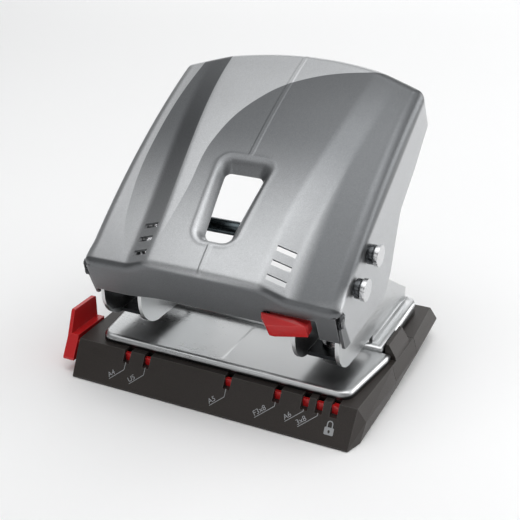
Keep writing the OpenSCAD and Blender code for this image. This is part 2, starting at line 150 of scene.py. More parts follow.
def soft_box(name, at, look, size, radiance):
    """Soft rectangular light; at, look and size are in millimetres."""
    data = bpy.data.lights.new(name, "AREA")
    data.shape = "RECTANGLE"
    data.size, data.size_y = (side * MM for side in size)
    data.energy = radiance * math.pi * data.size * data.size_y
    light = bpy.data.objects.new(name, data)
    bpy.context.scene.collection.objects.link(light)
    light.location = Vector(at) * MM
    light.visible_camera = False
    light.rotation_mode = "QUATERNION"
    light.rotation_quaternion = (Vector(look) - Vector(at)).to_track_quat("-Z", "Y")


def make_studio():
    scene = bpy.context.scene
    scene.view_settings.view_transform = "Standard"
    scene.view_settings.look = "None"
    world = bpy.data.worlds.new("studio")
    world.use_nodes = True
    background = world.node_tree.nodes["Background"]
    background.inputs["Color"].default_value = (0.97, 0.985, 1.0, 1)
    background.inputs["Strength"].default_value = 0.22
    scene.world = world
    soft_box("overhead", (-130, -180, 1000), (0, -10, 40), (900, 1100), 1.02)
    soft_box("ceiling", (0, 500, 1900), (0, 300, 0), (3200, 2800), 0.5)
    soft_box("upper_right", (450, 0, 900), (0, 0, 50), (440, 1200), 1.6)
    soft_box("right_back", (900, 750, 380), (0, 0, 60), (1300, 620), 2.7)
    soft_box("back_left", (-500, 1200, 420), (0, 0, 40), (1200, 600), 1.5)
    soft_box("front", (-200, -1200, 500), (0, 0, 40), (900, 500), 0.8)

    mesh = bpy.data.meshes.new("floor")
    half = 4.0
    low = cad_box[0].z
    mesh.from_pydata([(-half, -half, low), (half, -half, low), (half, half, low), (-half, half, low)],
                     [], [(0, 1, 2, 3)])
    floor = bpy.data.objects.new("floor", mesh)
    scene.collection.objects.link(floor)
    pale = bpy.data.materials.new("floor_paper")
    pale.use_nodes = True
    shader = pale.node_tree.nodes["Principled BSDF"]
    shader.inputs["Base Color"].default_value = (0.95, 0.95, 0.95, 1)
    shader.inputs["Roughness"].default_value = 0.9
    mesh.materials.append(pale)


make_studio()


# ---------------------------------------------------------------- materials

class Finish:
    """A material with one Principled shader and short calls to wire procedural detail into it."""

    def __init__(self, name, colour, metallic=0.0, roughness=0.5, **settings):
        self.material = bpy.data.materials.new(name)
        self.material.use_nodes = True
        self.tree = self.material.node_tree
        self.shader = self.tree.nodes["Principled BSDF"]
        self.place = self.node("ShaderNodeTexCoord").outputs["Object"]
        self.set(Metallic=metallic, Roughness=roughness)
        self.shader.inputs["Base Color"].default_value = (*colour, 1)
        for key, value in settings.items():
            self.shader.inputs[key.replace("_", " ")].default_value = value
        self.height = None

    def set(self, **values):
        for key, value in values.items():
            self.shader.inputs[key].default_value = value

    def node(self, kind, inputs=None, **settings):
        made = self.tree.nodes.new(kind)
        for key, value in settings.items():
            setattr(made, key, value)
        for key, value in (inputs or {}).items():
            self.put(value, made.inputs[key])
        return made

    def put(self, value, socket):
        if isinstance(value, bpy.types.NodeSocket):
            self.tree.links.new(value, socket)
        else:
            socket.default_value = value

    def maths(self, operation, a, b=0.0, clamp=False):
        made = self.node("ShaderNodeMath", {0: a, 1: b}, operation=operation)
        made.use_clamp = clamp
        return made.outputs[0]

    def step(self, value, low, high, out_low=0.0, out_high=1.0):
        """Smooth change from out_low to out_high as value goes from low to high."""
        inputs = {"Value": value, "From Min": low, "From Max": high,
                  "To Min": out_low, "To Max": out_high}
        made = self.node("ShaderNodeMapRange", inputs, interpolation_type="SMOOTHSTEP")
        return made.outputs["Result"]

    def share(self, value, low, high):
        """Straight change from 0 to 1 as value goes from low to high."""
        made = self.node("ShaderNodeMapRange", {"Value": value, "From Min": low, "From Max": high})
        return made.outputs["Result"]

    def noise(self, scale, detail=3.0, roughness=0.55, stretch=(1, 1, 1)):
        """Noise with scale waves to the metre, stretched along the axes."""
        place = self.node("ShaderNodeMapping", {"Vector": self.place, "Scale": stretch})
        inputs = {"Vector": place.outputs[0], "Scale": scale, "Detail": detail, "Roughness": roughness}
        return self.node("ShaderNodeTexNoise", inputs).outputs["Fac"]

    def mix(self, factor, a, b):
        """Colour between a and b."""
        made = self.node("ShaderNodeMix", data_type="RGBA")
        self.put(factor, made.inputs["Factor"])
        for value, socket in ((a, made.inputs[6]), (b, made.inputs[7])):
            self.put((*value, 1) if isinstance(value, tuple) else value, socket)
        return made.outputs[2]

    def shade(self, colour, factor):
        """Colour times a plain number."""
        grey = self.node("ShaderNodeCombineColor", {"Red": factor, "Green": factor, "Blue": factor})
        made = self.node("ShaderNodeMix", data_type="RGBA", blend_type="MULTIPLY")
        made.inputs["Factor"].default_value = 1.0
        self.put((*colour, 1) if isinstance(colour, tuple) else colour, made.inputs[6])
        self.put(grey.outputs[0], made.inputs[7])
        return made.outputs[2]

    def colour(self, value):
        self.put(value, self.shader.inputs["Base Color"])

    def rough(self, value):
        self.put(value, self.shader.inputs["Roughness"])

    def bump(self, height, distance, strength=1.0):
        """Adds fine relief; distance is in metres."""
        inputs = {"Height": height, "Distance": distance, "Strength": strength}
        if self.height is not None:
            inputs["Normal"] = self.height
        self.height = self.node("ShaderNodeBump", inputs).outputs["Normal"]
        self.put(self.height, self.shader.inputs["Normal"])

    def edge_wear(self, size=0.0006):
        """1 on outer edges, 0 on flat faces, from the shape's own curvature."""
        normal = self.node("ShaderNodeNewGeometry").outputs["Normal"]
        soft = self.node("ShaderNodeBevel", {"Radius": size}, samples=4).outputs["Normal"]
        same = self.node("ShaderNodeVectorMath", {0: normal, 1: soft}, operation="DOT_PRODUCT")
        return self.step(same.outputs["Value"], 0.999, 0.93)


def handle_axes(finish):
    """The X, U and V sockets of a point of the handle, in millimetres."""
    move = finish.node("ShaderNodeVectorMath", {0: finish.place, 1: (0, CREASE_Y * MM, CREASE_Z * MM)},
                       operation="SUBTRACT")
    turn = finish.node("ShaderNodeVectorRotate", {"Vector": move.outputs[0], "Angle": -TILT},
                       rotation_type="X_AXIS")
    scale = finish.node("ShaderNodeVectorMath", {0: turn.outputs[0], "Scale": 1 / MM}, operation="SCALE")
    split = finish.node("ShaderNodeSeparateXYZ", {0: scale.outputs[0]})
    return split.outputs


def curve_at(finish, value, low, high, points):
    """A smooth outline: points are (position, offset) pairs, position from low to high, offset in mm."""
    span = 60.0
    made = finish.node("ShaderNodeFloatCurve", {"Value": finish.share(value, low, high)})
    curve = made.mapping.curves[0]
    made.mapping.use_clip = False
    while len(curve.points) < len(points):
        curve.points.new(0.5, 0.5)
    for point, (position, offset) in zip(curve.points, points):
        point.location = ((position - low) / (high - low), 0.5 + offset / (2 * span))
    made.mapping.update()
    back = finish.maths("SUBTRACT", made.outputs[0], 0.5)
    return finish.maths("MULTIPLY", back, 2 * span)


# Where the dark print fades in or ends, and where the painted shade on the skirt ends, in the handle's
# frame
PRINT_FADE_U = (-3, 64)
PRINT_FADE_X = (29, 37.5)
PRINT_WALL_V = (-7.6, -5.2)
SKIRT_SHADE_V = (-2.4, -0.6)
SKIRT_SHADE_U = (-0.6, 0.4)
# Right edges of the bright crescent and of the pale strip: the few (U, X) points that their curves pass
CRESCENT = ((2, -22), (30, -18.5), (55, -18), (78, -9.5), (92, 4), (102, 31))
PALE_STRIP = ((-4, -27.5), (10, -37.5), (26, -42), (60, -44.5), (104, -42))


def silver_paint():
    """Silver lacquer with fine flake, a darker print that fades towards the front, and painted shade on
    the skirt.
    """
    f = Finish("silver_paint", (0.45, 0.45, 0.45), metallic=0.9, roughness=0.38)
    x, u, v = handle_axes(f)
    arc = curve_at(f, u, 0, 106, CRESCENT)
    strip = curve_at(f, u, -6, 106, PALE_STRIP)
    past_arc = f.step(f.maths("SUBTRACT", x, arc), -0.15, 0.15)
    spread = f.step(u, FACET_FROM_U, FACET_FROM_U + FACET_LENGTH, 0, FACET_SPREAD)
    facet = f.maths("ADD", spread, 0.3 + FACET_X)
    before_facet = f.step(f.maths("ADD", x, facet), -0.15, 0.15, 1, 0)
    past_strip = f.step(f.maths("SUBTRACT", x, strip), -0.15, 0.15)
    left = f.maths("MULTIPLY", before_facet, past_strip)
    fade = f.step(u, *PRINT_FADE_U, 0.0, 1.0)
    fade = f.maths("MAXIMUM", fade, f.step(x, *PRINT_FADE_X, 0.0, 1.0))
    print_and_shade = f.maths("MULTIPLY", f.maths("MAXIMUM", past_arc, left), fade)
    print_and_shade = f.maths("MULTIPLY", print_and_shade, f.step(v, *PRINT_WALL_V))
    # Painted shade: the downward-facing skirt gets the print's dark tone, for the dark that it reflects.
    skirt_shade = f.maths("MULTIPLY", f.step(v, *SKIRT_SHADE_V, 0.95, 0), f.step(u, *SKIRT_SHADE_U, 1, 0))
    print_and_shade = f.maths("MAXIMUM", print_and_shade, skirt_shade)
    flake = f.noise(5200, 2.0, 0.7)
    cloud = f.noise(26, 3.0)
    tone = f.mix(print_and_shade, (0.52, 0.53, 0.54), (0.150, 0.156, 0.162))
    tone = f.shade(tone, f.step(flake, 0.32, 0.70, 0.80, 1.16))
    tone = f.shade(tone, f.step(cloud, 0.3, 0.7, 0.97, 1.03))
    wear = f.edge_wear()
    f.colour(f.mix(f.maths("MULTIPLY", wear, 0.35), tone, (0.66, 0.66, 0.67)))
    f.rough(f.step(flake, 0.3, 0.7, 0.42, 0.34))
    f.bump(flake, 0.00001, 0.6)
    f.bump(cloud, 0.00012, 0.10)
    return f.material


def handle_inside_shade():
    """Dark grey inside the handle: painted shade for the unlit underside of the sheet."""
    f = Finish("handle_inside_shade", (0.1, 0.1, 0.1), metallic=0.4, roughness=0.5)
    cloud = f.noise(40, 3.0)
    grain = f.noise(3000, 2.0, 0.6)
    f.colour(f.mix(cloud, (0.055, 0.058, 0.062), (0.095, 0.098, 0.103)))
    f.rough(f.step(grain, 0.3, 0.7, 0.42, 0.58))
    f.bump(grain, 0.00001, 0.4)
    return f.material


# Where plate_steel() has painted shade, in millimetres: inside the brackets and at the plate's foot
BRACKET_SHADE_X = (7.4, 7.6)
BRACKET_SHADE_Z = (20.0, 20.3)
PLATE_FOOT_SHADE_Z = (14.6, 15.8)
# Painted shade on the neck between the handle's wall and the heads of rod and pin
NECK_SHADE_X = ((51.0, 51.2), (54.3, 54.4))


def between(finish, value, span, out_low=0.0, out_high=1.0):
    """Smooth change over a span given in millimetres, for a value in metres."""
    return finish.step(value, span[0] * MM, span[1] * MM, out_low, out_high)


def plate_steel():
    """Satin pressed steel with a faint rolled grain, and painted shade inside the brackets and at the
    plate's foot.
    """
    f = Finish("plate_steel", (0.6, 0.6, 0.59), metallic=1.0, roughness=0.3)
    grain = f.noise(2600, 3.0, 0.6, (0.10, 1, 1))
    cloud = f.noise(22, 3.0)
    tone = f.mix(grain, (0.56, 0.57, 0.575), (0.62, 0.63, 0.635))
    tone = f.shade(tone, f.step(cloud, 0.3, 0.7, 0.96, 1.03))
    wear = f.edge_wear()
    tone = f.mix(f.maths("MULTIPLY", wear, 0.5), tone, (0.82, 0.82, 0.81))
    where = f.node("ShaderNodeSeparateXYZ", {0: f.place}).outputs
    across = f.maths("ABSOLUTE", f.maths("SUBTRACT", f.maths("ABSOLUTE", where["X"]), PUNCH_X * MM))
    # Painted shade: the steel is darkened inside the brackets, under their cheeks.
    inside = f.maths("MULTIPLY", between(f, across, BRACKET_SHADE_X, 1, 0),
                     between(f, where["Z"], BRACKET_SHADE_Z))
    # Painted shade: the foot of the plate's wall is darkened next to the tray.
    foot = between(f, where["Z"], PLATE_FOOT_SHADE_Z, 0.8, 0)
    f.colour(f.mix(f.maths("MAXIMUM", inside, foot), tone, (0.035, 0.037, 0.04)))
    f.rough(f.maths("ADD", f.step(grain, 0.3, 0.7, 0.27, 0.35), f.step(cloud, 0.3, 0.7, -0.02, 0.03)))
    f.bump(grain, 0.000004, 0.4)
    return f.material


def plated_steel():
    """Bright plated pins and rivets, with painted shade on the neck beside the handle's wall."""
    f = Finish("plated_steel", (0.78, 0.79, 0.8), metallic=1.0, roughness=0.14)
    fine = f.noise(1500, 3.0, 0.6)
    cloud = f.noise(60, 2.0)
    tone = f.mix(cloud, (0.58, 0.59, 0.60), (0.68, 0.68, 0.69))
    where = f.node("ShaderNodeSeparateXYZ", {0: f.place}).outputs
    # Painted shade: the neck between the handle's wall and a head is darkened.
    neck_shade = f.maths("MULTIPLY", between(f, where["X"], NECK_SHADE_X[0]),
                   between(f, where["X"], NECK_SHADE_X[1], 1, 0))
    f.colour(f.mix(neck_shade, tone, (0.09, 0.095, 0.10)))
    f.rough(f.step(fine, 0.3, 0.7, 0.2, 0.3))
    f.bump(fine, 0.000008, 0.4)
    return f.material


def dark_steel():
    """Dark-coloured steel of the driver rod."""
    f = Finish("dark_steel", (0.1, 0.12, 0.13), metallic=1.0, roughness=0.24)
    fine = f.noise(1400, 3.0, 0.6, (0.1, 1, 1))
    cloud = f.noise(60, 2.0)
    f.colour(f.mix(cloud, (0.07, 0.09, 0.10), (0.13, 0.155, 0.165)))
    f.rough(f.step(fine, 0.3, 0.7, 0.2, 0.32))
    f.bump(fine, 0.000006, 0.4)
    return f.material


def print_grey():
    """Pale grey pad-printed ink."""
    f = Finish("print_grey", (0.4, 0.4, 0.4), roughness=0.5)
    fine = f.noise(3000, 3.0, 0.6)
    f.colour(f.mix(fine, (0.30, 0.31, 0.32), (0.42, 0.43, 0.44)))
    f.rough(f.step(fine, 0.3, 0.7, 0.42, 0.6))
    f.bump(fine, 0.000004, 0.3)
    return f.material


def tool_steel():
    """Ground hardened steel of punches, dies and bushes."""
    f = Finish("tool_steel", (0.5, 0.5, 0.5), metallic=1.0, roughness=0.25)
    rings = f.noise(1300, 2.0, 0.6, (0.1, 0.1, 1))
    f.colour(f.mix(rings, (0.42, 0.42, 0.43), (0.58, 0.58, 0.58)))
    f.rough(f.step(rings, 0.3, 0.7, 0.2, 0.32))
    f.bump(rings, 0.00001, 0.5)
    return f.material


def tray_plastic():
    """Dark moulded plastic with a fine spark-eroded texture."""
    f = Finish("tray_plastic", (0.02, 0.016, 0.014), roughness=0.42, Specular_IOR_Level=0.36)
    grain = f.noise(2600, 2.0, 0.6)
    cloud = f.noise(30, 3.0)
    wear = f.edge_wear(0.0005)
    tone = f.mix(cloud, (0.026, 0.021, 0.018), (0.036, 0.030, 0.027))
    tone = f.shade(tone, f.step(grain, 0.3, 0.7, 0.85, 1.15))
    f.colour(f.mix(f.maths("MULTIPLY", wear, 0.6), tone, (0.10, 0.095, 0.09)))
    f.rough(f.step(grain, 0.3, 0.7, 0.38, 0.5))
    f.bump(grain, 0.00002, 0.5)
    return f.material


def red_plastic():
    """Glossy red moulded plastic."""
    f = Finish("red_plastic", (0.55, 0.02, 0.015), roughness=0.25, Specular_IOR_Level=0.55)
    grain = f.noise(2600, 2.0, 0.5)
    cloud = f.noise(60, 2.0)
    wear = f.edge_wear(0.0004)
    tone = f.mix(cloud, (0.52, 0.012, 0.014), (0.60, 0.016, 0.018))
    f.colour(f.mix(f.maths("MULTIPLY", wear, 0.35), tone, (0.75, 0.10, 0.09)))
    f.rough(f.step(grain, 0.3, 0.7, 0.2, 0.27))
    f.bump(grain, 0.000003, 0.3)
    return f.material


def black_nylon():
    """Black nylon spacers."""
    f = Finish("black_nylon", (0.015, 0.015, 0.016), roughness=0.4)
    grain = f.noise(1800, 2.0, 0.6)
    f.colour(f.mix(grain, (0.010, 0.010, 0.011), (0.024, 0.024, 0.025)))
    f.rough(f.step(grain, 0.3, 0.7, 0.35, 0.5))
    f.bump(grain, 0.00001, 0.5)
    return f.material


def rubber():
    """Matt black rubber mat."""
    f = Finish("rubber", (0.02, 0.02, 0.02), roughness=0.85)
    grain = f.noise(1100, 4.0, 0.7)
    f.colour(f.mix(grain, (0.014, 0.014, 0.014), (0.034, 0.034, 0.034)))
    f.rough(f.step(grain, 0.3, 0.7, 0.75, 0.95))
    f.bump(grain, 0.00005, 0.6)
    return f.material


MATERIALS = {
    "silver_paint": silver_paint(), "plate_steel": plate_steel(), "plated_steel": plated_steel(),
    "tool_steel": tool_steel(), "tray_plastic": tray_plastic(), "red_plastic": red_plastic(),
    "black_nylon": black_nylon(), "rubber": rubber(), "dark_steel": dark_steel(),
    "print_grey": print_grey(), "handle_inside_shade": handle_inside_shade(),
}

# Which CAD nodes keep their own shape, by finish
NODE_FINISH = {
    "tray_plastic": ("base_tray", "chip_door"),
    "rubber": ("rubber_mat",),
    "plate_steel": ("left_bracket", "right_bracket", "left_guide_bridge",
                    "right_guide_bridge"),
    "plated_steel": ("plate_screws", "door_pin", "guide_detent", "bracket_rivets", "left_pivot_pin",
                     "right_pivot_pin", "pivot_clips", "rod_caps", "lock_retainer"),
    "dark_steel": ("driver_rod",),
    "tool_steel": ("left_guide_bush", "right_guide_bush", "left_die", "right_die", "left_punch",
                   "right_punch"),
    "red_plastic": ("paper_guide", "lock_slider"),
    "black_nylon": ("pivot_spacers",),
}

# Rounding of the edges of CAD nodes, in millimetres
EDGE_ROUND = {
    "base_tray": 0.35, "chip_door": 0.35, "rubber_mat": 0.3, "left_bracket": 0.2, "right_bracket": 0.2,
    "left_pivot_pin": 0.45, "right_pivot_pin": 0.45, "rod_caps": 0.4, "driver_rod": 0.3,
    "paper_guide": 0.35, "lock_slider": 0.5, "pivot_spacers": 0.3, "left_guide_bridge": 0.2,
    "right_guide_bridge": 0.2,
}


# Distances for joining points, in metres
NODE_WELD = 0.000004
PIECE_WELD = 0.000005
PIECE_THIN = 0.000001


def bevel_edges(thing, width, angle, segments):
    """Rounds the edges sharper than angle, with smooth shading between them."""
    bevel = thing.modifiers.new("round", "BEVEL")
    bevel.width = width * MM
    bevel.segments = segments
    bevel.limit_method = "ANGLE"
    bevel.angle_limit = math.radians(angle)
    bevel.harden_normals = True


def round_edges(thing, width):
    """Welds a CAD node's mesh and rounds its sharp edges."""
    weld = thing.modifiers.new("weld", "WELD")
    weld.merge_threshold = NODE_WELD
    bevel_edges(thing, width, angle=32, segments=3)


def thicken(piece, thickness):
    """Gives a sheet its thickness, towards the inside."""
    sheet = piece.modifiers.new("sheet", "SOLIDIFY")
    sheet.thickness = thickness * MM
    sheet.offset = -1
    return sheet


def dress_nodes():
    for finish, names in NODE_FINISH.items():
        for name in names:
            node = nodes[name]
            node.data.materials.clear()
            node.data.materials.append(MATERIALS[finish])
            if name in EDGE_ROUND:
                round_edges(node, EDGE_ROUND[name])


dress_nodes()

# ------------------------------------------------------------ mesh helpers

def mesh_piece(name, points, faces, finish, body, *stands_for):
    """Makes a shown piece from millimetre points, welded, outward and smooth."""
    mesh = bpy.data.meshes.new(name)
    mesh.from_pydata([tuple(c * MM for c in p) for p in points], [], faces)
    work = bmesh.new()
    work.from_mesh(mesh)
    bmesh.ops.remove_doubles(work, verts=work.verts, dist=PIECE_WELD)
    bmesh.ops.dissolve_degenerate(work, edges=work.edges, dist=PIECE_THIN)
    bmesh.ops.recalc_face_normals(work, faces=work.faces)
    work.to_mesh(mesh)
    work.free()
    mesh.shade_smooth()
    mesh.materials.append(MATERIALS[finish])
    piece = bpy.data.objects.new(name, mesh)
    bpy.context.scene.collection.objects.link(piece)
    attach(piece, body)
    if stands_for:
        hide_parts(*stands_for)
    return piece


def stretches(*parts):
    """Coordinates from (start, end, step) stretches, each cut into even steps."""
    cuts = [np.linspace(a, b, max(2, round((b - a) / step) + 1)) for a, b, step in parts]
    return np.unique(np.round(np.concatenate(cuts), 4))


def lattice(rows, columns, start=0):
    """Quads between neighbouring points of a rows by columns array."""
    return [(start + i * columns + j, start + i * columns + j + 1,
             start + (i + 1) * columns + j + 1, start + (i + 1) * columns + j)
            for i in range(rows - 1) for j in range(columns - 1)]


def smooth_step(t):
    t = np.clip(t, 0, 1)
    return t * t * (3 - 2 * t)


def rounded_box(x, y, half_x, half_y, corner):
    """Signed distance to a rounded rectangle about the origin, negative inside."""
    dx = np.abs(x) - half_x + corner
    dy = np.abs(y) - half_y + corner
    outside = np.hypot(np.maximum(dx, 0), np.maximum(dy, 0))
    return outside + np.minimum(np.maximum(dx, dy), 0) - corner


# ----------------------------------------------------------------- handle

TOP_HALF = HALF_W - FOLD_R
SKIRT_GAP = 0.15
SKIRT_HALF = HALF_W - SHEET_T - SKIRT_GAP
SEAM = 0.3
CREASE_FOLD = 2.6
FRONT_REACH = 22.0
END_ROWS_U = 89.0
RIM_ROWS_U = (41.0, 51.0)
# Numbers of steps: skirt below and above the slot's edge, crease, crease to vents, far end,
# far corner, side fold, side wall, and the skirt's end between fold and wall
SLOT_STEPS = 10
SKIRT_STEPS = 8
CREASE_STEPS = 8
START_STEPS = 4
END_STEPS = 14
CORNER_STEPS = 9
FOLD_STEPS = 9
WALL_STEPS = 18
WING_STEPS = 5
ROW_GAP = 0.12
# Half of the crease's bend, and the share of its reach along U on the top and V on the skirt
CREASE_HALF_ANGLE = math.radians(73.4 / 2)
CREASE_ON_TOP = 0.988
CREASE_ON_SKIRT = 0.991
CREASE_GUESS_U = -1.7
# Shifts that the section and the walls' lower edge are averaged over, which rounds their corners
SECTION_BLUR = (-1.2, -0.6, 0, 0.6, 1.2)
FOOT_BLUR = (-1.6, -0.8, 0, 0.8, 1.6)
BEAD_HEIGHT = 0.14
BEAD_AT = 0.5
BEAD_WIDTH = 0.7
RIB_HEIGHT = 0.24
RIB_DROP = 0.13
RIB_DROP_U = 44.0
RIB_DROP_RUN = 8.0
RIB_HALF = 0.65
RIB_EDGE = 0.45
# Faces of the top lie over VENT_LOW_V, and those near the window past WINDOW_NEAR_U
VENT_LOW_V = -7.0
WINDOW_NEAR_U = 5.0
EDGE_GRAB = 0.02
PROBE = 0.01
OUTWARD_Z = 90.0
# Lower edge of the side walls as (U, V), from the skirt's corner to the far end: the corners of the
# CAD handle's side view
WALL_FOOT = ((-4.5, -21.4), (-1.5, -25.2), (27.2, -43.1), (30.3, -44.2), (34.6, -43.3), (41.5, -39.4),
             (46.6, -35.0), (58.2, -25.9), (76.5, -23.8), (103.5, -18.0), (105.8, -15.2), (109.0, -14.6))


def handle_point(x, u, v):
    """From the handle's frame to the row frame, in millimetres."""
    c, s = math.cos(TILT), math.sin(TILT)
    return (x, CREASE_Y + u * c - v * s, CREASE_Z + u * s + v * c)


def facet_start(u):
    """X where the crowned middle ends; the side facets fan out up the handle."""
    return FACET_X + FACET_SPREAD * smooth_step((np.asarray(u) - FACET_FROM_U) / FACET_LENGTH)


def section_depth(x, u):
    """Depth below the crown line: bowed middle, sloping facet, flat edge."""
    start = facet_start(u)
    total = 0
    along = np.clip(np.asarray(u) / FACET_LENGTH, 0, 1)
    drop = FACET_DROP[0] + (FACET_DROP[1] - FACET_DROP[0]) * along
    for shift in SECTION_BLUR:
        a = np.abs(x + shift)
        total = total - MIDDLE_BOW * np.minimum(a / start, 1) ** 2
        total = total - drop * np.clip((a - start) / FACET_RUN, 0, 1)
        flat = (a - start - FACET_RUN) / (TOP_HALF - start - FACET_RUN)
        total = total - EDGE_FALL * np.clip(flat, 0, 1)
    return total / len(SECTION_BLUR)


def tapered_box(x, u, box, taper, radius):
    """Signed distance to a round-cornered window that is narrower by taper at its front."""
    half, low, high = box
    wide = np.abs(x) + taper * (high - u) / (high - low)
    return rounded_box(wide, u - (low + high) / 2, half, (high - low) / 2, radius)


def window_edge(x, u):
    """Signed distance to the window's cut edge."""
    return tapered_box(x, u, WINDOW, WINDOW_TAPER, WINDOW_CORNER)


def window_rim(x, u):
    """Signed distance to the rim where the sheet starts to dip."""
    return tapered_box(x, u, WINDOW_RIM, WINDOW_TAPER, RIM_CORNER)


def relief(x, u):
    """Pressed detail: the funnel round the window, its bead, and the rib on the centre line."""
    outer = window_rim(x, u)
    inner = np.maximum(window_edge(x, u), 0)
    share = np.where(outer < 0, -outer / (-outer + inner + 1e-6), 0)
    funnel = -WINDOW_DEPTH * (1 - np.cos(share * math.pi / 2))
    bead = BEAD_HEIGHT * np.exp(-((outer - BEAD_AT) / BEAD_WIDTH) ** 2)
    clear = smooth_step((outer - 0.3) / 1.0)
    height = RIB_HEIGHT - RIB_DROP * smooth_step((u - RIB_DROP_U) / RIB_DROP_RUN)
    rib = height * (1 - smooth_step((np.abs(x) - RIB_HALF) / RIB_EDGE)) * clear
    return funnel + bead + rib


def top_v(x, u):
    """V of the handle's outer top face."""
    sag = np.sqrt((CROWN_R + section_depth(x, u)) ** 2 - (u - CROWN_MID) ** 2)
    return CROWN_RISE - CROWN_R + sag + relief(x, u)


def skirt_u(v):
    """U of the skirt's outer face at a given V."""
    share = (SKIRT_TOP[1] - v) / (SKIRT_TOP[1] - SKIRT_FOOT[1])
    return SKIRT_TOP[0] + (SKIRT_FOOT[0] - SKIRT_TOP[0]) * share


def skirt_foot_v(x):
    """Lower edge of the skirt, arched in the middle."""
    past_arch = smooth_step((np.abs(x) - SKIRT_ARCH_HALF) / SKIRT_ARCH_RUN)
    return SKIRT_ARCH_V + (SKIRT_FOOT[1] - SKIRT_ARCH_V) * past_arch


def wall_foot_v(u):
    """Lower edge of a side wall, with its corners softened."""
    us, vs = zip(*WALL_FOOT)
    return sum(np.interp(u + shift, us, vs) for shift in FOOT_BLUR) / len(FOOT_BLUR)


def end_u(x):
    """U where the top face passes into the fold at the far end."""
    return END_U - END_R + np.sqrt((END_R - FOLD_R) ** 2 - x ** 2)


def handle_columns():
    """X of the columns of points across the handle, closer where there is detail."""
    right = stretches((0, 1.6, 0.2), (1.6, 4.1, 0.5), (4.1, 12.1, 0.4), (12.1, 21.5, 0.85),
                      (21.5, VENT_X[0], 0.6), (VENT_X[0], VENT_X[1], 0.55), (VENT_X[1], SLOT_X[1], 0.7),
                      (SLOT_X[1], TOP_HALF, 0.6))
    right = np.unique(np.append(right, WINDOW[0]))
    return np.concatenate((-right[:0:-1], right))


def front_fold(x):
    """Points of the skirt and the rounded crease at X, from the foot up, as (U, V)."""
    v = top_v(x, CREASE_GUESS_U)
    for _ in range(4):
        v = top_v(x, skirt_u(v))
    u = skirt_u(v)
    reach = CREASE_R * math.tan(CREASE_HALF_ANGLE)
    above = (u + reach * CREASE_ON_TOP, float(top_v(x, u + reach * CREASE_ON_TOP)))
    below = (skirt_u(v - reach * CREASE_ON_SKIRT), v - reach * CREASE_ON_SKIRT)
    foot = float(skirt_foot_v(x))
    levels = list(np.linspace(foot, SLOT_V, SLOT_STEPS + 1)[:-1])
    levels += list(np.linspace(SLOT_V, below[1], SKIRT_STEPS + 1)[:-1])
    points = [(float(skirt_u(level)), level) for level in levels]
    for k in range(CREASE_STEPS + 1):
        t = k / CREASE_STEPS
        points.append(tuple((1 - t) ** 2 * b + 2 * t * (1 - t) * m + t * t * a
                            for b, m, a in zip(below, (u, float(v)), above)))
    return points


def handle_top(xs):
    """The skirt, crease and top face as rows of (X, U, V) for every column."""
    folds = [front_fold(x) for x in xs]
    low, high = VENT_U[0][0], VENT_U[2][1]
    edges = [edge for vent in VENT_U for edge in vent]
    rim_low, rim_high = RIM_ROWS_U
    even = stretches((low, high, 0.45), (high, rim_low, 1.0), (rim_low, rim_high, 0.4),
                     (rim_high, END_ROWS_U, 1.2))
    plain = np.unique(np.round(np.concatenate((even, edges, (WINDOW[1], WINDOW[2]))), 3))
    plain = plain[np.append(True, np.diff(plain) > ROW_GAP)]
    rows = [[(x, *fold[k]) for x, fold in zip(xs, folds)] for k in range(len(folds[0]))]
    start = rows[-1]
    for k in range(1, START_STEPS):
        rows.append([(x, u + (low - u) * k / START_STEPS, None) for x, u, v in start])
    rows += [[(x, u, None) for x in xs] for u in plain]
    for k in range(1, END_STEPS + 1):
        rows.append([(x, END_ROWS_U + (end_u(x) - END_ROWS_U) * k / END_STEPS, None) for x in xs])
    return [[(x, u, float(top_v(x, u)) if v is None else v) for x, u, v in row] for row in rows]


def fold_reach(u):
    """How far the fold turns in from the top face; tighter next to the crease."""
    return CREASE_FOLD + (FOLD_R - CREASE_FOLD) * smooth_step((u - 0.5) / 8)


def edge_stations(rows, fold_count):
    """Places along the edge of the top face, from the right front round the far end to the left front.

    Each is (X, U, V, outward X, outward U, way in as U and V).
    """
    right = []
    for k in range(fold_count - CREASE_STEPS - 1, len(rows)):
        x, u, v = rows[k][-1]
        before, after = rows[k - 1][-1], rows[min(k + 1, len(rows) - 1)][-1]
        along = Vector((after[1] - before[1], after[2] - before[2])).normalized()
        way_in = (along.y, -along.x) if k < fold_count else (0.0, -1.0)
        right.append((x, u, v, 1.0, 0.0, way_in))
    last = rows[-1]
    reach = END_R - FOLD_R
    turn = math.acos(last[-1][0] / reach)
    x, u, v = last[-1]
    down = (0.0, -1.0)
    for k in range(1, CORNER_STEPS):
        part = turn * k / CORNER_STEPS
        right.append((x, u, v, math.cos(part), math.sin(part), down))
    end = [(x, u, v, x / reach, math.sqrt(1 - (x / reach) ** 2), down) for x, u, v in reversed(last)]
    left = [(-x, u, v, -a, b, way) for x, u, v, a, b, way in reversed(right)]
    return right + end + left


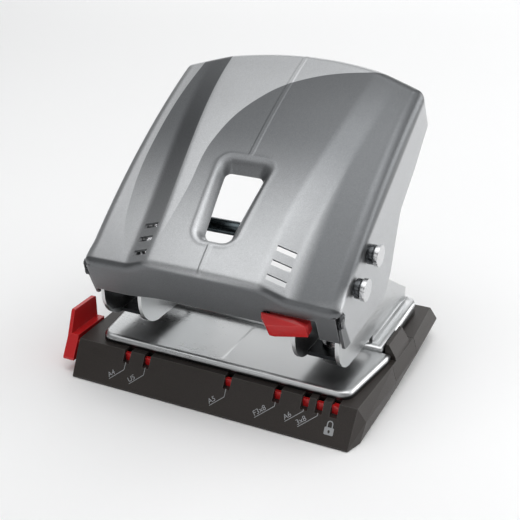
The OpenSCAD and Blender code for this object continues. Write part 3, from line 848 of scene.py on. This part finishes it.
def edge_line(x, u, v, out_x, out_u, way_in):
    """One station's line over the fold and down the wall, as (X, U, V) points."""
    turn_in = fold_reach(u) if out_u == 0 else FOLD_R
    line = []
    for k in range(FOLD_STEPS + 1):
        a = math.pi / 2 * k / FOLD_STEPS
        out, down = FOLD_R * math.sin(a), turn_in * (1 - math.cos(a))
        line.append((x + out_x * out, u + out_u * out + way_in[0] * down, v + way_in[1] * down))
    x1, u1, v1 = line[-1]
    pull = smooth_step(1 - (u1 - skirt_u(v1)) / FRONT_REACH) if out_u == 0 else 0.0
    foot_u = u1 + pull * (SKIRT_FOOT[0] - float(skirt_u(v1)))
    foot = float(wall_foot_v(foot_u))
    for k in range(1, WALL_STEPS + 1):
        t = k / WALL_STEPS
        level = v1 + (foot - v1) * t
        lean = float(skirt_u(level)) - float(skirt_u(v1))
        close = (CREASE_FOLD - SEAM) * (1 - (1 - t) ** 6)
        line.append((x1, u1 + pull * (lean - close * pull), level))
    return line


def cut_out(x, u, v):
    """True where the middle of a face lies in a vent or in the lock's slot."""
    in_vent = VENT_X[0] < abs(x) < VENT_X[1] and any(a < u < b for a, b in VENT_U)
    if in_vent and v > VENT_LOW_V:
        return True
    return SLOT_X[0] < x < SLOT_X[1] and v < SLOT_V and u < 0


def on_window_edge(x, u):
    """The nearby point of the window's cut edge, on the top face."""
    for _ in range(3):
        gap = window_edge(x, u)
        slope_x = (window_edge(x + PROBE, u) - window_edge(x - PROBE, u)) / (2 * PROBE)
        slope_u = (window_edge(x, u + PROBE) - window_edge(x, u - PROBE)) / (2 * PROBE)
        x, u = x - gap * slope_x, u - gap * slope_u
    return (x, u, float(top_v(x, u)))


def build_handle():
    xs = handle_columns()
    rows = handle_top(xs)
    fold_count = len(front_fold(0.0))
    flat = [p for row in rows for p in row]
    faces, snapped = [], set()
    for face in lattice(len(rows), len(xs)):
        corners = [flat[i] for i in face]
        x, u, v = (sum(c[k] for c in corners) / 4 for k in range(3))
        if cut_out(x, u, v):
            continue
        inside = [i for i in face
                  if flat[i][1] > WINDOW_NEAR_U and window_edge(flat[i][0], flat[i][1]) < EDGE_GRAB]
        if len(inside) == 4:
            continue
        snapped.update(inside)
        faces.append(face)
    for i in snapped:
        flat[i] = on_window_edge(flat[i][0], flat[i][1])
    lines = [edge_line(*station) for station in edge_stations(rows, fold_count)]
    start = len(flat)
    flat += [p for line in lines for p in line]
    faces += lattice(len(lines), len(lines[0]), start)
    wings = rows[:fold_count - CREASE_STEPS]
    wing_xs = [TOP_HALF + (SKIRT_HALF - TOP_HALF) * k / WING_STEPS for k in range(WING_STEPS + 1)]
    for side in (1, -1):
        start = len(flat)
        edge = -1 if side == 1 else 0
        flat += [(side * x, row[edge][1], row[edge][2]) for row in wings for x in wing_xs]
        faces += lattice(len(wings), len(wing_xs), start)
    piece = mesh_piece("handle_shell", [handle_point(*p) for p in flat], faces, "silver_paint",
                       "handle", "handle")
    upper = [p.normal for p in piece.data.polygons if p.center.z > OUTWARD_Z * MM]
    if sum(upper, Vector()).z < 0:
        piece.data.flip_normals()
    sheet = thicken(piece, SHEET_T)
    # Painted shade: the inner face of the sheet takes the dark inside material.
    piece.data.materials.append(MATERIALS["handle_inside_shade"])
    sheet.material_offset = 1
    bevel_edges(piece, width=0.16, angle=55, segments=2)


build_handle()

# ------------------------------------------------------------- base plate

STEEL_T = 1.4
FLAT_BORDER = 0.35
EDGE_STEPS = 7
TABLE_EDGE_R = 1.8
PLATFORM_EDGE_R = 1.5
TABLE_CORNER_X = (-45.6, 49.2)
TABLE_CORNER_Y = -37.3
TABLE_CORNER_R = 5.0
TABLE_SIDE_X = (-54.0, 57.6)
TABLE_REAR_Y = (-12.3, -8.3)
PLATFORM_HALF = 54.0
PLATFORM_CORNER = (47.0, 31.0)
PLATFORM_CORNER_R = 7.0
# The pressed line round the platform, as (distance from the edge, depth)
CHANNEL = ((5.1, 0), (4.7, 0), (4.3, 0.3), (3.9, 0.38), (3.5, 0.3), (3.1, 0))
# The edge of a die hole, as (radius, depth)
HOLE = ((5.8, 0), (5.4, 0), (5.15, 0.1), (5.03, 0.35), (5.03, 1.3))
# The short groove in the table, and how far it reaches beyond and within these lines
GROOVE_X = (1.6, 2.4)
GROOVE_Y = (-39.0, -11.0)
GROOVE_BORDER = (0.3, 0.4)
GROOVE_SLOPE = 0.4
GROOVE_DEPTH = 0.25


def inset(outline, amount):
    """The outline of a convex loop, moved inwards."""
    moved = []
    for i, point in enumerate(outline):
        before, after = Vector(outline[i - 1]), Vector(outline[(i + 1) % len(outline)])
        a, b = (Vector(point) - before).normalized(), (after - Vector(point)).normalized()
        way = Vector((-a.y - b.y, a.x + b.x))
        way = way / max(way.length_squared / 2, 1e-9)
        moved.append((point[0] + way.x * amount, point[1] + way.y * amount))
    return moved


def arc(x, y, radius, start, stop, steps=8):
    angles = [math.radians(start + (stop - start) * k / steps) for k in range(steps + 1)]
    return [(x + radius * math.cos(a), y + radius * math.sin(a)) for a in angles]


def loop_walls(points, faces, rings):
    """Adds closed rings of equal length and the quads between them; returns the first ring's indices."""
    start, count = len(points), len(rings[0])
    points += [p for ring in rings for p in ring]
    for k in range(len(rings) - 1):
        a = start + k * count
        faces += [(a + i, a + (i + 1) % count, a + count + (i + 1) % count, a + count + i)
                  for i in range(count)]
    return list(range(start, start + count))


def pressed_rings(outline, top, low, radius, channel):
    """Rings from the flat top over the rounded edge and down the wall; channel adds a pressed line."""
    rings = []
    if channel:
        for way_in, down in CHANNEL:
            rings.append([(x, y, top - down) for x, y in inset(outline, way_in)])
    rings.append([(x, y, top) for x, y in inset(outline, radius + FLAT_BORDER)])
    for k in range(EDGE_STEPS + 1):
        a = math.pi / 2 * k / EDGE_STEPS
        rings.append([(x, y, top - radius * (1 - math.cos(a)))
                      for x, y in inset(outline, radius * (1 - math.sin(a)))])
    rings.append([(x, y, low) for x, y in outline])
    return rings


def groove_ring(grow_x, grow_y, z):
    """A closed ring round the groove, grown by these amounts, at one height."""
    left, right = GROOVE_X[0] - grow_x, GROOVE_X[1] + grow_x
    front, rear = GROOVE_Y[0] - grow_y, GROOVE_Y[1] + grow_y
    return [(left, front, z), (right, front, z), (right, rear, z), (left, rear, z)]


def build_base_plate():
    points, faces = [], []
    (left, right), (rear_low, rear) = TABLE_SIDE_X, TABLE_REAR_Y
    table = (arc(TABLE_CORNER_X[0], TABLE_CORNER_Y, TABLE_CORNER_R, 180, 270)
             + arc(TABLE_CORNER_X[1], TABLE_CORNER_Y, TABLE_CORNER_R, 270, 355)
             + [(right, rear_low), (right, rear), (left, rear), (left, rear_low)])
    corner_x, corner_y = PLATFORM_CORNER
    platform = ([(-PLATFORM_HALF, STEP_Y), (PLATFORM_HALF, STEP_Y)]
                + arc(corner_x, corner_y, PLATFORM_CORNER_R, 0, 90)
                + arc(-corner_x, corner_y, PLATFORM_CORNER_R, 90, 180))
    table_top = loop_walls(points, faces,
                           pressed_rings(table, TABLE_Z, TRAY_TOP_Z, TABLE_EDGE_R, False))
    raised_top = loop_walls(points, faces,
                            pressed_rings(platform, PLATFORM_Z, TRAY_TOP_Z, PLATFORM_EDGE_R, True))
    holes = []
    for side in (-1, 1):
        rings = [[(x, y, TABLE_Z - down) for x, y in arc(side * PUNCH_X, PUNCH_Y, radius, 0, 350, 35)]
                 for radius, down in HOLE]
        holes.append(loop_walls(points, faces, rings))
    groove = [groove_ring(*GROOVE_BORDER, TABLE_Z), groove_ring(0, 0, TABLE_Z),
              groove_ring(-GROOVE_SLOPE, -GROOVE_SLOPE, TABLE_Z - GROOVE_DEPTH)]
    holes.append(loop_walls(points, faces, groove))
    mesh = bpy.data.meshes.new("fill")
    mesh.from_pydata([tuple(p) for p in points], [], faces)
    work = bmesh.new()
    work.from_mesh(mesh)
    work.verts.ensure_lookup_table()
    for loops in ([table_top] + holes, [raised_top]):
        edges = []
        for loop in loops:
            for i, a in enumerate(loop):
                b = loop[(i + 1) % len(loop)]
                edges.append(work.edges.get((work.verts[a], work.verts[b])))
        bmesh.ops.triangle_fill(work, use_beauty=True, edges=edges)
    points = [tuple(v.co) for v in work.verts]
    work.verts.index_update()
    faces = [tuple(v.index for v in face.verts) for face in work.faces]
    work.free()
    bpy.data.meshes.remove(mesh)
    piece = mesh_piece("plate_pressing", points, faces, "plate_steel", "base", "base_plate")
    face_up(piece)
    thicken(piece, STEEL_T)


def face_up(piece):
    """Turns the mesh so that its upper faces look up."""
    total = sum((face.normal.z * face.area for face in piece.data.polygons))
    if total < 0:
        piece.data.flip_normals()


build_base_plate()

# ---------------------------------------------------------- return springs

SPRING_LOW = 40.0
SPRING_HIGH = 56.6
SPRING_RADIUS = 3.75
SPRING_WIRE = 0.45
SPRING_TURNS = 6.0
SPRING_CLOSED = 0.75


def build_spring(side, name):
    """Compression spring with closed ends."""
    steps, ring = 360, 10
    points = []
    for k in range(steps + 1):
        turns = SPRING_TURNS * k / steps
        share = np.clip((turns - SPRING_CLOSED) / (SPRING_TURNS - 2 * SPRING_CLOSED), 0, 1)
        height = SPRING_LOW + (SPRING_HIGH - SPRING_LOW) * (0.9 * share + 0.1 * smooth_step(share))
        for j in range(ring):
            a = 2 * math.pi * j / ring
            reach = SPRING_RADIUS + SPRING_WIRE * math.cos(a)
            t = 2 * math.pi * turns
            points.append((side * PUNCH_X + reach * math.cos(t), PUNCH_Y + reach * math.sin(t),
                           float(height) + SPRING_WIRE * math.sin(a)))
    faces = [(k * ring + j, k * ring + (j + 1) % ring,
              (k + 1) * ring + (j + 1) % ring, (k + 1) * ring + j)
             for k in range(steps) for j in range(ring)]
    faces += [tuple(range(ring)), tuple(steps * ring + j for j in reversed(range(ring)))]
    piece = mesh_piece(name + "_coil", points, faces, "plated_steel", "base", name + "_spring")
    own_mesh(piece)


build_spring(-1, "left")
build_spring(1, "right")

# ------------------------------------------------------------ format marks

SLOPE_LOW_Z = 0.8
MARK_ANGLE = math.radians(41)
MARK_LINE = 0.24
MARK_LIFT = 0.03
LETTER_SIZE = 2.75
# Label, its notch, where its line bends (down the slope) and the slanted line's length
MARKS = (("A4", 0, 7.5, 7.4), ("US", 1, 7.6, 7.1), ("A5", 2, 7.7, 6.8), ("F3x8", 3, 6.3, 8.8),
         ("A6", 4, 5.4, 7.9), ("3x8", 5, 5.7, 8.4))
LINE_START = 4.7
WORD_SHIFT = (0.2, 0.5)
LOCK_MARK_DOWN = 8.6
LOCK_MARK_BACK = 0.4
SHACKLE_R = (0.75, 1.15)
SHACKLE_UP = 1.3
LOCK_BODY = (1.75, 1.35)
LOCK_BODY_DOWN = 1.3
KEYHOLE = (0.42, 0.75)


def on_slope(x, down):
    """Point just over the tray's sloped front, down millimetres below its top edge."""
    rise = TRAY_TOP_Z - SLOPE_LOW_Z
    run = TRAY_FRONT_Y - TRAY_FOOT_Y
    length = math.hypot(rise, run)
    return (x, TRAY_FRONT_Y - (run * down + rise * MARK_LIFT) / length,
            TRAY_TOP_Z - (rise * down - run * MARK_LIFT) / length)


def stripe(ax, a_down, bx, b_down):
    """Corners of a thin line between two points of the slope."""
    along = Vector((bx - ax, b_down - a_down)).normalized()
    across = Vector((-along.y, along.x)) * MARK_LINE / 2
    return [(ax + across.x, a_down + across.y), (bx + across.x, b_down + across.y),
            (bx - across.x, b_down - across.y), (ax - across.x, a_down - across.y)]


def letters(word):
    """Flat mesh of a word: its points along and above the baseline, and its faces."""
    data = bpy.data.curves.new("word", "FONT")
    data.body = word
    data.size = LETTER_SIZE
    holder = bpy.data.objects.new("word", data)
    mesh = bpy.data.meshes.new_from_object(holder)
    points = [(v.co.x, v.co.y) for v in mesh.vertices]
    faces = [tuple(f.vertices) for f in mesh.polygons]
    bpy.data.objects.remove(holder)
    bpy.data.curves.remove(data)
    bpy.data.meshes.remove(mesh)
    return points, faces


def padlock(x, down):
    """Flat mesh of a closed padlock: shackle and body with a keyhole."""
    points, faces = [], []
    steps = 16
    inner, outer = SHACKLE_R
    for k in range(steps + 1):
        a = math.pi * k / steps
        for radius in SHACKLE_R:
            points.append((x + radius * math.cos(a), down - SHACKLE_UP - radius * math.sin(a)))
    points = [(x + inner, down), (x + outer, down)] + points + [(x - inner, down), (x - outer, down)]
    faces += [(2 * k, 2 * k + 1, 2 * k + 3, 2 * k + 2) for k in range(len(points) // 2 - 1)]
    start = len(points)
    around = 32
    round_r, low_r = KEYHOLE
    for k in range(around):
        a = 2 * math.pi * k / around
        c, s = math.cos(a), math.sin(a)
        reach = min(LOCK_BODY[0] / max(abs(c), 1e-6), LOCK_BODY[1] / max(abs(s), 1e-6))
        points.append((x + round_r * c, down + LOCK_BODY_DOWN + (round_r if s < 0 else low_r) * s))
        points.append((x + reach * c, down + LOCK_BODY_DOWN + reach * s))
    faces += [(start + 2 * k, start + 2 * k + 1, start + (2 * k + 3) % (2 * around),
               start + (2 * k + 2) % (2 * around)) for k in range(around)]
    return points, faces


def build_marks():
    points, faces = [], []

    def add(new_points, new_faces):
        start = len(points)
        points.extend(new_points)
        faces.extend(tuple(start + i for i in face) for face in new_faces)

    c, s = math.cos(MARK_ANGLE), math.sin(MARK_ANGLE)
    for word, notch, bend, length in MARKS:
        x = NOTCH_X[notch]
        end_x, end_down = x - length * c, bend + length * s
        add(stripe(x, LINE_START, x, bend), [(0, 1, 2, 3)])
        add(stripe(x, bend, end_x, end_down), [(0, 1, 2, 3)])
        shapes, shape_faces = letters(word)
        base_x = end_x + WORD_SHIFT[0] * c - WORD_SHIFT[1] * s
        base_down = end_down - WORD_SHIFT[0] * s - WORD_SHIFT[1] * c
        add([(base_x + a * c - b * s, base_down - a * s - b * c) for a, b in shapes], shape_faces)
    add(*padlock(NOTCH_X[6] - LOCK_MARK_BACK, LOCK_MARK_DOWN))
    piece = mesh_piece("format_marks", [on_slope(x, down) for x, down in points], faces, "print_grey",
                       "base")
    if sum(face.normal.y * face.area for face in piece.data.polygons) > 0:
        piece.data.flip_normals()


build_marks()
